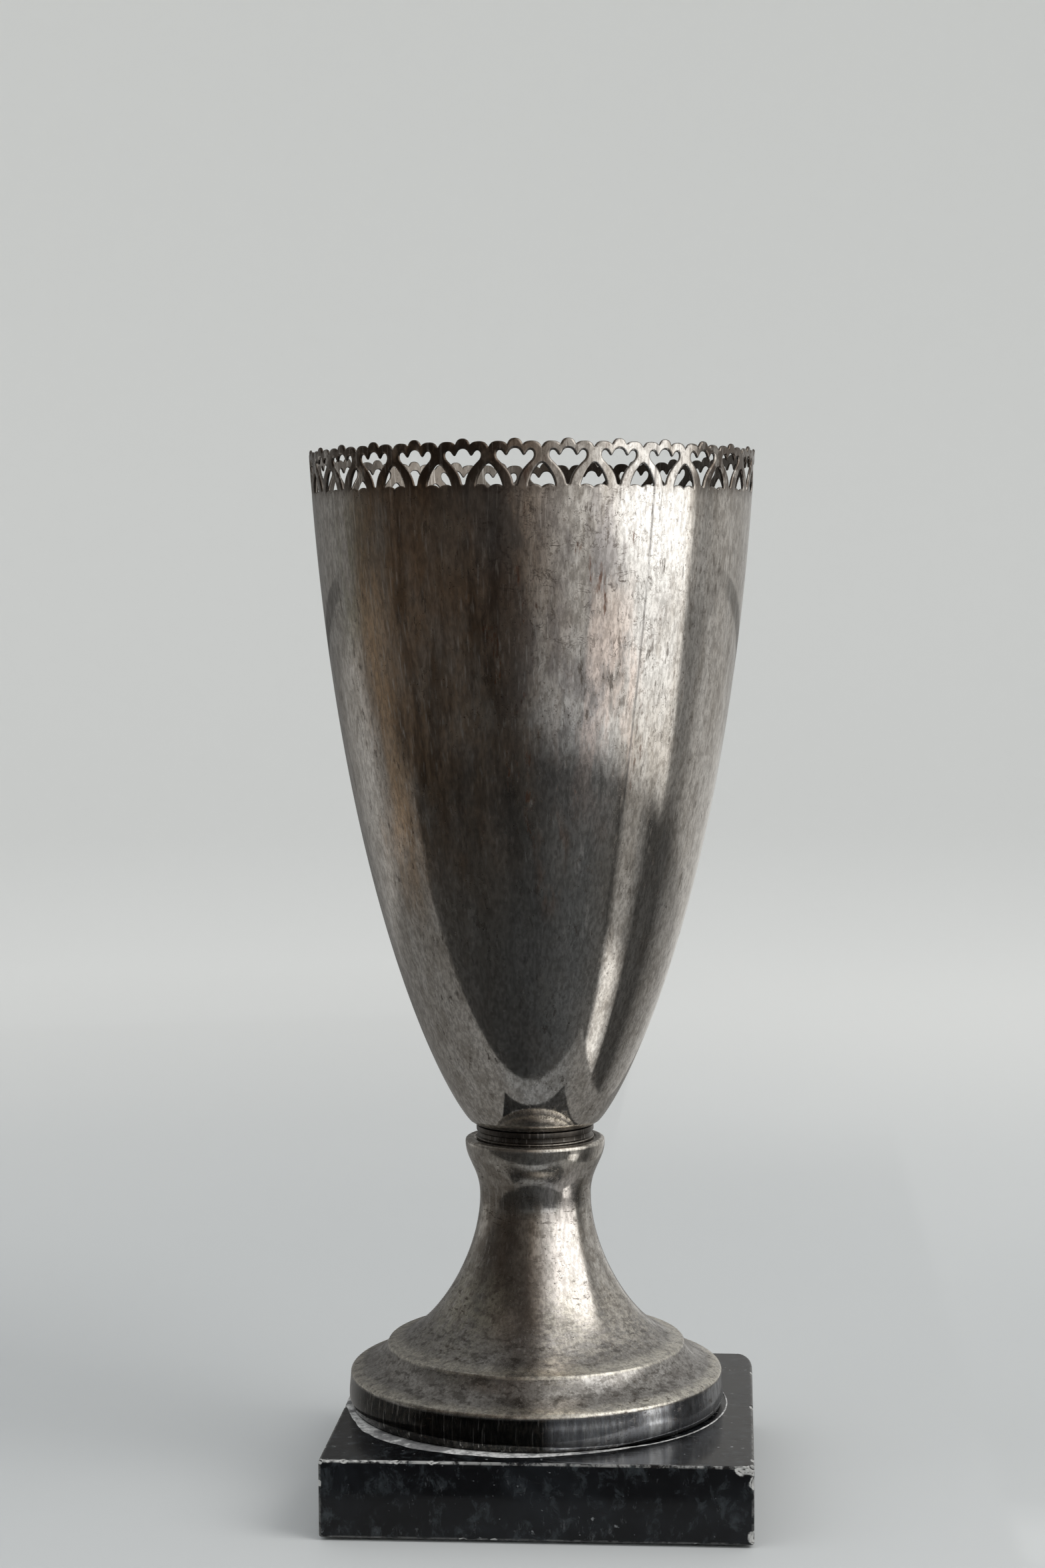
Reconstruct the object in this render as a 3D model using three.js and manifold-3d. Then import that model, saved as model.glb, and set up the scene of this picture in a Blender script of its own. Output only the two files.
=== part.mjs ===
// Cup trophy: a pierced, spun bowl and a trumpet foot of silver-plated sheet, clamped by one threaded rod
// to a square black marble block. Millimetres, +Z up. The origin is on the cup's axis, at the bottom.

import * as THREE from 'three';
import { mergeVertices } from 'three/addons/utils/BufferGeometryUtils.js';
import Module from 'manifold-3d';

// ---------------------------------------------------------------- driving dimensions

const GAP = 0.3; // clearance between pieces that touch
const SHEET = 0.7; // thickness of the plated sheet

const FELT = { side: 106, thickness: 0.5, holeRadius: 13, cutCorner: 3 };
const BLOCK = {
  side: 110,
  height: 20,
  offsetX: 3.6, // the block sits a little off the cup's axis
  offsetY: -2.75,
  chamfer: 0.7,
  wornCornerX: 5, // the back right corner is worn round
  wornCornerY: 15,
};
const COUNTERBORE = { radius: 12.5, depth: 10 }; // the nut's recess under the block
const ROD_HOLE = 3.5; // radius of the block's clearance hole

const BLOCK_BOTTOM = FELT.thickness + GAP;
const BLOCK_TOP = BLOCK_BOTTOM + BLOCK.height;
const FOOT_BOTTOM = BLOCK_TOP + GAP;

const FOOT = {
  rimBottomRadius: 49.7,
  bellyRadius: 50.6, // the widest part of the upright ring
  bellyHeight: 24.4,
  rimRadius: 50.2,
  rimTop: 29.7,
  shoulderRadius: 39.8,
  shoulderTop: 38,
  waistRadius: 14.95,
  waistHeight: 77.7,
  collarRadius: 18.8,
  collarHeight: 92.1,
  mouthRadius: 16.6,
  mouthHeight: 93.2,
  plateTop: 92.7,
};
const NECK = {
  radius: 15.9,
  bore: 9,
  bottom: FOOT.plateTop + GAP,
  top: 96.7,
  bead: 0.7, // height of the thin bead at its bottom
  groove: 0.6, // depth of the groove above the bead
  lip: 1.4, // height of the plain lip at its top
};
const BOWL = {
  bottom: NECK.top + GAP,
  bottomRadius: 16.1,
  height: 277.2,
  mouthRadius: 59.28,
  footPull: 20, // radius of the wall curve's lower handle, level with the bottom
  bodyPull: [52, 150], // radius and height of its upper handle
};

const UNITS = 28; // repeats of the pierced band
const PITCH = (2 * Math.PI * BOWL.mouthRadius) / UNITS;

const ROD = { radius: 3, bottom: 1.2, top: 95.6, chamfer: 0.6 };
const NUT = { acrossFlats: 10, height: 5, chamfer: 0.9 };
const WASHER = { baseRadius: 9, stemRadius: 10.5, thickness: 1.6 };
const LOCK_WASHER = { radius: 5.6, thickness: 1.4, split: 0.16 }; // the split is half its angle, in radians
const BOSS = { radius: 6.4, bottom: 92.4 };
const BORE = ROD.radius + GAP; // every hole that the rod passes through

const TURN = 56; // facets round the large turned pieces
const MEDIUM_TURN = 36; // facets round the neck ring and the counterbore
const SMALL_TURN = 24; // facets round the small turned pieces

// ---------------------------------------------------------------- materials

function metal(name, color, roughness) {
  const material = new THREE.MeshStandardMaterial({ color, roughness, metalness: 1 });
  material.name = name;
  return material;
}

const materials = {
  bowl: metal('tarnished_silver_plate', 0x8e877d, 0.32),
  foot: metal('tarnished_silver_plate_foot', 0x857e74, 0.36),
  neck: metal('blackened_silver_plate', 0x4a4744, 0.45),
  brass: metal('raw_brass', 0xa98a4f, 0.5),
  steel: metal('zinc_plated_steel', 0x9a9c9f, 0.45),
  spring: metal('spring_steel', 0x55575a, 0.5),
  marble: new THREE.MeshStandardMaterial({ color: 0x14171a, roughness: 0.22, metalness: 0 }),
  felt: new THREE.MeshStandardMaterial({ color: 0x15181a, roughness: 1, metalness: 0 }),
};

// ---------------------------------------------------------------- solids

const wasm = await Module();
wasm.setup();

function toSolid(geometry) {
  const bare = geometry.index ? geometry.toNonIndexed() : geometry.clone();
  bare.deleteAttribute('normal');
  bare.deleteAttribute('uv');
  const merged = mergeVertices(bare, 1e-4);
  return new wasm.Manifold(new wasm.Mesh({
    numProp: 3,
    vertProperties: new Float32Array(merged.attributes.position.array),
    triVerts: new Uint32Array(merged.index.array),
  }));
}

function toGeometry(solid) {
  const mesh = solid.getMesh();
  const geometry = new THREE.BufferGeometry();
  geometry.setAttribute('position', new THREE.BufferAttribute(mesh.vertProperties, 3));
  geometry.setIndex(new THREE.BufferAttribute(mesh.triVerts, 1));
  geometry.computeVertexNormals();
  return geometry;
}

// Turns a closed outline of (radius, height) points, listed anticlockwise, about the Z axis.
function turned(points, facets) {
  const closed = [...points, points[0]];
  const profile = closed.map(([radius, height]) => new THREE.Vector2(radius, height));
  return new THREE.LatheGeometry(profile, facets).rotateX(Math.PI / 2);
}

// Stands a plate, drawn in X and Y, on the height z.
function plate(shape, z, thickness, options = {}) {
  const geometry = new THREE.ExtrudeGeometry(shape, {
    depth: thickness,
    bevelEnabled: false,
    curveSegments: SMALL_TURN / 2,
    ...options,
  });
  return geometry.translate(0, 0, z);
}

function roundHole(radius, x = 0, y = 0) {
  return new THREE.Path().absarc(x, y, radius, 0, 2 * Math.PI, true);
}

// The points of a cubic curve, without its first one.
function bend(start, pull, push, end, steps) {
  const [a, b, c, d] = [start, pull, push, end].map(([x, y]) => new THREE.Vector2(x, y));
  const points = new THREE.CubicBezierCurve(a, b, c, d).getPoints(steps);
  return points.slice(1).map(({ x, y }) => [x, y]);
}

// A line of (radius, height) points moved inwards, along its normal, by the sheet's thickness.
function insideOf(points, thickness) {
  return points.map(([radius, height], i) => {
    const before = points[Math.max(i - 1, 0)];
    const after = points[Math.min(i + 1, points.length - 1)];
    const along = new THREE.Vector2(after[0] - before[0], after[1] - before[1]).normalize();
    return [radius - thickness * along.y, height + thickness * along.x];
  });
}

// ---------------------------------------------------------------- bowl

// The outside of the bowl is one curve from its flat bottom up to the mouth.
function bowlWall() {
  const { bottom, bottomRadius, height, mouthRadius, footPull, bodyPull } = BOWL;
  const start = [bottomRadius, bottom];
  return [start, ...bend(start, [footPull, bottom], bodyPull, [mouthRadius, height], 9)];
}

function bowlShell() {
  const wall = bowlWall();
  const inside = insideOf(wall, SHEET);
  inside[0] = [BOWL.bottomRadius - SHEET, BOWL.bottom + SHEET];
  inside[inside.length - 1] = [BOWL.mouthRadius - SHEET, BOWL.height];
  const outline = [[0, BOWL.bottom], ...wall, ...inside.reverse(), [0, BOWL.bottom + SHEET]];
  const profile = outline.map(([radius, height]) => new THREE.Vector2(radius, height));
  return toSolid(new THREE.LatheGeometry(profile, TURN).rotateX(Math.PI / 2));
}

// The pierced band is drawn flat: x along the rim and y down from the tip of the middle scallop,
// for one unit that is centred on x = 0.

// What is cut away above the three scallops.
function scallopCut() {
  const top = 2;
  const valley = -2.15;
  const notch = -1.5;
  const notchX = 1.95;
  const shape = new THREE.Shape();
  shape.moveTo(-PITCH / 2, valley);
  shape.quadraticCurveTo(-4.5, 0.65, -notchX, notch);
  shape.quadraticCurveTo(0, 1.5, notchX, notch);
  shape.quadraticCurveTo(4.5, 0.65, PITCH / 2, valley);
  shape.lineTo(PITCH / 2, top);
  shape.lineTo(-PITCH / 2, top);
  return shape;
}

// The opening under the scallops: three lobes with round tongues between them, drawn in to a narrow foot.
function tulipCut() {
  const shape = new THREE.Shape();
  shape.moveTo(0.35, -11.3);
  shape.bezierCurveTo(1.1, -8.6, 2.3, -7.2, 4.1, -5.4);
  shape.bezierCurveTo(5.2, -4.3, 4.6, -3, 3.8, -3);
  shape.bezierCurveTo(2.9, -3, 2.8, -4.3, 2.2, -4.3);
  shape.bezierCurveTo(1.5, -4.3, 1.5, -2.55, 0, -2.55);
  shape.bezierCurveTo(-1.5, -2.55, -1.5, -4.3, -2.2, -4.3);
  shape.bezierCurveTo(-2.8, -4.3, -2.9, -3, -3.8, -3);
  shape.bezierCurveTo(-4.6, -3, -5.2, -4.3, -4.1, -5.4);
  shape.bezierCurveTo(-2.3, -7.2, -1.1, -8.6, -0.35, -11.3);
  return shape;
}

// The pointed arch between two tulips, on a sill of two small bumps.
function archCut() {
  const shape = new THREE.Shape();
  shape.moveTo(-3.4, -11.7);
  shape.quadraticCurveTo(-1.7, -10.6, 0, -12);
  shape.quadraticCurveTo(1.7, -10.6, 3.4, -11.7);
  shape.quadraticCurveTo(2.6, -8.6, 0.6, -6.5);
  shape.quadraticCurveTo(0, -6.1, -0.6, -6.5);
  shape.quadraticCurveTo(-2.6, -8.6, -3.4, -11.7);
  return shape;
}

// A cutter stands across the wall, at an angle round the rim. Angle 0 is at the front, on -Y.
function cutter(shape, steps, angle) {
  const reach = 16;
  const geometry = new THREE.ExtrudeGeometry(shape, {
    depth: reach,
    bevelEnabled: false,
    curveSegments: steps,
  });
  geometry.rotateX(Math.PI / 2);
  geometry.translate(0, -(BOWL.mouthRadius - reach + 4), BOWL.height);
  return toSolid(geometry.rotateZ(angle));
}

function makeBowl() {
  let bowl = bowlShell();
  for (let unit = 0; unit < UNITS; unit += 1) {
    const angle = (unit * 2 * Math.PI) / UNITS;
    const halfUnit = Math.PI / UNITS;
    bowl = bowl.subtract(cutter(scallopCut(), 4, angle));
    bowl = bowl.subtract(cutter(tulipCut(), 2, angle));
    bowl = bowl.subtract(cutter(archCut(), 2, angle + halfUnit));
  }
  return toGeometry(bowl);
}

function makeBowlBoss() {
  const { radius, bottom } = BOSS;
  const chamfer = 0.5;
  return turned([
    [BORE, bottom],
    [radius - chamfer, bottom],
    [radius, bottom + chamfer],
    [radius, NECK.top],
    [BORE, NECK.top],
  ], SMALL_TURN);
}

// ---------------------------------------------------------------- neck and foot

function makeNeckRing() {
  const { radius, bore, bottom, top, bead, groove, lip } = NECK;
  const lipRadius = radius - 0.1;
  const slope = 0.2; // height over which the groove runs in and out
  return turned([
    [bore, bottom],
    [radius, bottom],
    [radius, bottom + bead],
    [radius - groove, bottom + bead + slope],
    [radius - groove, top - lip - slope],
    [lipRadius, top - lip],
    [lipRadius, top],
    [bore, top],
  ], MEDIUM_TURN);
}

// The outside of the foot, from the inner edge of its collar down to the upright rim.
function footWall() {
  const f = FOOT;
  const mouth = [f.mouthRadius, f.mouthHeight];
  const collar = [f.collarRadius, f.collarHeight];
  const waist = [f.waistRadius, f.waistHeight];
  const shoulder = [f.shoulderRadius, f.shoulderTop];
  const roll = 1.4;
  const edge = [f.rimRadius - roll, f.rimTop + roll];
  const rim = [f.rimRadius, f.rimTop];
  const rolledIn = [f.collarRadius - 0.3, f.mouthHeight + 0.2];
  const flare = [f.shoulderRadius - 11, f.shoulderTop + 1];
  return [
    mouth,
    ...bend(mouth, rolledIn, [f.collarRadius, f.collarHeight + 1], collar, 2),
    ...bend(collar, [f.collarRadius, f.collarHeight - 4.9], [f.waistRadius, f.waistHeight + 7], waist, 3),
    ...bend(waist, [f.waistRadius, f.waistHeight - 17.5], flare, shoulder, 6),
    ...bend(shoulder, [f.shoulderRadius + 1.3, f.shoulderTop - 2.6], [edge[0] - 5, edge[1] + 1.2], edge, 2),
    ...bend(edge, [edge[0] + 0.8, edge[1] - 0.3], [f.rimRadius, f.rimTop + 0.7], rim, 2),
    [f.bellyRadius, f.bellyHeight],
    [f.rimBottomRadius, FOOT_BOTTOM],
  ];
}

function makeFoot() {
  const wall = footWall();
  const inside = insideOf(wall, -SHEET).slice(1);
  inside[inside.length - 1] = [FOOT.rimBottomRadius - SHEET, FOOT_BOTTOM];
  const under = FOOT.plateTop - SHEET;
  const hole = BOSS.radius + GAP;
  const outline = [
    [hole, FOOT.plateTop],
    [hole, under],
    [FOOT.collarRadius - SHEET, under],
    ...inside.filter(([, height]) => height < under),
    ...wall.reverse(),
    [FOOT.mouthRadius - 0.1, FOOT.plateTop],
  ];
  return turned(outline, TURN);
}

// ---------------------------------------------------------------- rod, nuts and washers

function makeTieRod() {
  const { radius, bottom, top, chamfer } = ROD;
  const profile = [
    [0, bottom],
    [radius - chamfer, bottom],
    [radius, bottom + chamfer],
    [radius, top - chamfer],
    [radius - chamfer, top],
    [0, top],
  ].map(([x, y]) => new THREE.Vector2(x, y));
  return new THREE.LatheGeometry(profile, SMALL_TURN).rotateX(Math.PI / 2);
}

// A hexagon with a round bore, whose corners are turned back to a cone above and below.
function makeNut(z) {
  const corner = NUT.acrossFlats / Math.sqrt(3);
  const shape = new THREE.Shape();
  for (let i = 0; i < 6; i += 1) {
    const angle = (i * Math.PI) / 3;
    shape[i ? 'lineTo' : 'moveTo'](corner * Math.cos(angle), corner * Math.sin(angle));
  }
  shape.holes.push(roundHole(BORE));
  const flat = NUT.acrossFlats / 2;
  const cone = new THREE.LatheGeometry([
    [0, 0],
    [flat, 0],
    [corner + 0.1, NUT.chamfer / 2],
    [corner + 0.1, NUT.height - NUT.chamfer / 2],
    [flat, NUT.height],
    [0, NUT.height],
  ].map(([x, y]) => new THREE.Vector2(x, y)), SMALL_TURN).rotateX(Math.PI / 2);
  const nut = toSolid(plate(shape, 0, NUT.height)).intersect(toSolid(cone));
  return toGeometry(nut).translate(0, 0, z);
}

function makeWasher(radius, bottom) {
  const top = bottom + WASHER.thickness;
  return turned([[BORE, bottom], [radius, bottom], [radius, top], [BORE, top]], SMALL_TURN);
}

// A spring washer: a flat ring with a narrow split.
function makeLockWasher(bottom) {
  const { radius, thickness, split } = LOCK_WASHER;
  const innerSplit = (split * radius) / BORE; // keeps the split's sides parallel
  const shape = new THREE.Shape();
  shape.absarc(0, 0, radius, split, 2 * Math.PI - split, false);
  shape.absarc(0, 0, BORE, 2 * Math.PI - innerSplit, innerSplit, true);
  return plate(shape, bottom, thickness);
}

// ---------------------------------------------------------------- marble block and felt

// The block's plan, drawn about its own centre.
function blockPlan() {
  const half = BLOCK.side / 2 - BLOCK.chamfer;
  const shape = new THREE.Shape();
  shape.moveTo(-half, -half);
  shape.lineTo(half, -half);
  shape.lineTo(half, half - BLOCK.wornCornerY);
  shape.quadraticCurveTo(half, half, half - BLOCK.wornCornerX, half);
  shape.lineTo(-half, half);
  return shape;
}

function makeMarbleBase() {
  const block = plate(blockPlan(), BLOCK.chamfer, BLOCK.height - 2 * BLOCK.chamfer, {
    bevelEnabled: true,
    bevelThickness: BLOCK.chamfer,
    bevelSize: BLOCK.chamfer,
    bevelSegments: 1,
    curveSegments: 6,
  });
  block.translate(BLOCK.offsetX, BLOCK.offsetY, BLOCK_BOTTOM);
  const drilled = (radius, from, to) => {
    const hole = new THREE.CylinderGeometry(radius, radius, to - from, MEDIUM_TURN).rotateX(Math.PI / 2);
    return toSolid(hole.translate(0, 0, (from + to) / 2));
  };
  const ceiling = BLOCK_BOTTOM + COUNTERBORE.depth;
  return toGeometry(toSolid(block)
    .subtract(drilled(COUNTERBORE.radius, BLOCK_BOTTOM - 1, ceiling))
    .subtract(drilled(ROD_HOLE, ceiling - 1, BLOCK_TOP + 1)));
}

function makeFeltPad() {
  const half = FELT.side / 2;
  const corner = FELT.cutCorner;
  const shape = new THREE.Shape();
  shape.moveTo(corner - half, -half);
  shape.lineTo(half - corner, -half);
  shape.lineTo(half, corner - half);
  shape.lineTo(half, half - BLOCK.wornCornerY);
  shape.lineTo(half - BLOCK.wornCornerX, half);
  shape.lineTo(corner - half, half);
  shape.lineTo(-half, half - corner);
  shape.lineTo(-half, corner - half);
  shape.holes.push(roundHole(FELT.holeRadius, -BLOCK.offsetX, -BLOCK.offsetY));
  return plate(shape, 0, FELT.thickness).translate(BLOCK.offsetX, BLOCK.offsetY, 0);
}

// ---------------------------------------------------------------- assembly

const trophy = new THREE.Group();

function add(name, geometry, material) {
  const mesh = new THREE.Mesh(geometry, material);
  mesh.name = name;
  trophy.add(mesh);
}

add('felt_pad', makeFeltPad(), materials.felt);
add('marble_base', makeMarbleBase(), materials.marble);

const counterboreTop = BLOCK_BOTTOM + COUNTERBORE.depth;
const baseWasherBottom = counterboreTop - GAP - WASHER.thickness;
const lockWasherBottom = baseWasherBottom - GAP - LOCK_WASHER.thickness;
const baseNutBottom = lockWasherBottom - GAP - NUT.height;

add('base_washer', makeWasher(WASHER.baseRadius, baseWasherBottom), materials.steel);
add('base_lock_washer', makeLockWasher(lockWasherBottom), materials.spring);
add('base_nut', makeNut(baseNutBottom), materials.steel);

add('foot', makeFoot(), materials.foot);

const stemWasherBottom = FOOT.plateTop - SHEET - GAP - WASHER.thickness;
add('stem_washer', makeWasher(WASHER.stemRadius, stemWasherBottom), materials.steel);
add('stem_nut', makeNut(stemWasherBottom - GAP - NUT.height), materials.steel);
add('tie_rod', makeTieRod(), materials.steel);
add('neck_ring', makeNeckRing(), materials.neck);
add('bowl_boss', makeBowlBoss(), materials.brass);
add('bowl', makeBowl(), materials.bowl);

export default trophy;
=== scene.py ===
"""The looks of the cup trophy: a pierced silver-plated bowl on a trumpet foot and a black marble block."""

import math

import bpy
import numpy as np
from mathutils import Matrix, Vector
from mathutils.geometry import delaunay_2d_cdt


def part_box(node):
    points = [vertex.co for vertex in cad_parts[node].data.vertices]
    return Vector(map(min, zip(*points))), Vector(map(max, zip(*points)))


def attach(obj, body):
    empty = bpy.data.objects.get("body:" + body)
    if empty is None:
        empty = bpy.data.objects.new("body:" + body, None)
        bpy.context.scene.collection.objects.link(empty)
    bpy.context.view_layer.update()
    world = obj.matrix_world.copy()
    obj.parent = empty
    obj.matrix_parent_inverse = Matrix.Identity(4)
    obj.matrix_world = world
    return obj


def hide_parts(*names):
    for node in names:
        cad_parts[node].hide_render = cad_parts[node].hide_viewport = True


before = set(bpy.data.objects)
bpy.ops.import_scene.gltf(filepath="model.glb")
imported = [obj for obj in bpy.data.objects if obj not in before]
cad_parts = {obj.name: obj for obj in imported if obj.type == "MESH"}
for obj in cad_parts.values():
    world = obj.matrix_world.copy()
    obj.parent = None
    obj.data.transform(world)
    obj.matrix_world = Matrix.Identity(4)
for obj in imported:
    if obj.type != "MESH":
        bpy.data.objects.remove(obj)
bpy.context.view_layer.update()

MM = 0.001  # lengths below are in millimetres, and meshes are in metres
FRONT = -math.pi / 2  # the angle of -Y, where a scallop's tip and the lathe's first column lie


# ------------------------------------------------------------------ places taken from the frame


def box_mm(node):
    low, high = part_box(node)
    return np.array(low) / MM, np.array(high) / MM


bowl_low, bowl_high = box_mm("bowl")
foot_low, foot_high = box_mm("foot")
neck_low, neck_high = box_mm("neck_ring")
block_low, block_high = box_mm("marble_base")
felt_low, felt_high = box_mm("felt_pad")
rod_low, rod_high = box_mm("tie_rod")

SHEET = 0.7  # thickness of the plated sheet
MOUTH = bowl_high[0]  # outer radius of the bowl's mouth
BOWL_TOP = bowl_high[2]
BOWL_BOTTOM = bowl_low[2]
UNITS = 28  # repeats of the pierced band
PITCH = 2 * math.pi * MOUTH / UNITS
COLUMNS_PER_UNIT = 8
COLUMNS = UNITS * COLUMNS_PER_UNIT
WELD_SIZE = 0.0005  # vertices nearer than this are one
AXIS = 1e-6  # a radius that is as good as none


# ------------------------------------------------------------------ mesh helpers


def bend(start, pull, push, end, steps):
    """Points of a cubic curve, with both ends."""
    t = np.linspace(0, 1, steps + 1)[:, None]
    start, pull, push, end = (np.array(p, float) for p in (start, pull, push, end))
    return (1 - t) ** 3 * start + 3 * t * (1 - t) ** 2 * pull + 3 * t**2 * (1 - t) * push + t**3 * end


def chain(*pieces):
    """One line from several that start where the last one ends."""
    return np.vstack([pieces[0]] + [p[1:] for p in pieces[1:]])


def path(start, *bends):
    """Bends that follow each other, each as pull, push, end, steps and, where it has to be even, a spacing."""
    lines = []
    for pull, push, end, steps, *gap in bends:
        line = bend(start, pull, push, end, steps)
        lines.append(evenly(line, *gap) if gap else line)
        start = end
    return chain(*lines)


def corner(before, at, after, radius, steps=5):
    """A rounded corner between two straight edges."""
    before, at, after = (np.array(p, float) for p in (before, at, after))
    start = at + (before - at) / np.linalg.norm(before - at) * radius
    end = at + (after - at) / np.linalg.norm(after - at) * radius
    return bend(start, start + (at - start) * 0.55, end + (at - end) * 0.55, end, steps)


def evenly(points, spacing):
    """The same line with its points at even distances."""
    steps = np.linalg.norm(np.diff(points, axis=0), axis=1)
    run = np.concatenate([[0], np.cumsum(steps)])
    count = max(2, int(round(run[-1] / spacing)) + 1)
    at = np.linspace(0, run[-1], count)
    return np.stack([np.interp(at, run, points[:, i]) for i in range(2)], -1)


def inset(profile, thickness):
    """A profile moved to the left of its direction of travel."""
    along = np.gradient(profile, axis=0)
    along /= np.linalg.norm(along, axis=1)[:, None]
    return profile + thickness * np.stack([-along[:, 1], along[:, 0]], -1)


def weld(vertices, faces):
    """Joins vertices that lie at the same place, and drops what collapses."""
    keys = np.round(np.asarray(vertices) / WELD_SIZE).astype(np.int64)
    _, first, index = np.unique(keys, axis=0, return_index=True, return_inverse=True)
    index = index.ravel()
    kept = []
    for face in faces:
        ring = []
        for v in index[list(face)].tolist():
            if v not in ring:
                ring.append(v)
        if len(ring) > 2:
            kept.append(ring)
    return np.asarray(vertices)[first], kept


def grid_quads(rows, columns, round_rows=False, round_columns=True):
    """Faces between rows of vertices. Rows or columns that are round join their last to their first."""
    row, column = np.meshgrid(
        np.arange(rows if round_rows else rows - 1),
        np.arange(columns if round_columns else columns - 1),
        indexing="ij",
    )
    here, above = row * columns, (row + 1) % rows * columns
    beside = (column + 1) % columns
    return np.stack([here + column, here + beside, above + beside, above + column], -1).reshape(-1, 4)


def turn(profile, columns=COLUMNS):
    """A surface of revolution. A profile that runs anticlockwise in (radius, height) faces out."""
    angles = FRONT + np.arange(columns) * 2 * math.pi / columns
    radius, height = profile[:, 0], profile[:, 1]
    x = np.outer(radius, np.cos(angles))
    y = np.outer(radius, np.sin(angles))
    z = np.repeat(height[:, None], columns, 1)
    vertices = np.stack([x, y, z], -1).reshape(-1, 3)
    return vertices, grid_quads(len(profile), columns).tolist()


def join(*parts):
    vertices, faces, start = [], [], 0
    for points, polygons in parts:
        vertices.append(points)
        faces += [[v + start for v in face] for face in polygons]
        start += len(points)
    return np.vstack(vertices), faces


def new_object(name, vertices, faces, material=None):
    """An object in the scene, from vertices in metres."""
    mesh = bpy.data.meshes.new(name)
    mesh.from_pydata(vertices.tolist(), [], faces)
    if material:
        mesh.materials.append(material)
    thing = bpy.data.objects.new(name, mesh)
    bpy.context.scene.collection.objects.link(thing)
    return thing


def make_piece(name, part, material, replaced=(), smooth_angle=None):
    """An object on body root, from a part in millimetres."""
    vertices, faces = weld(*part)
    piece = new_object(name, vertices * MM, faces, material)
    piece.data.validate()
    piece.data.shade_smooth()
    if smooth_angle is not None:
        piece.data.set_sharp_from_angle(angle=math.radians(smooth_angle))
    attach(piece, "root")
    if replaced:
        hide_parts(*replaced)
    return piece


# ------------------------------------------------------------------ node helpers


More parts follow.
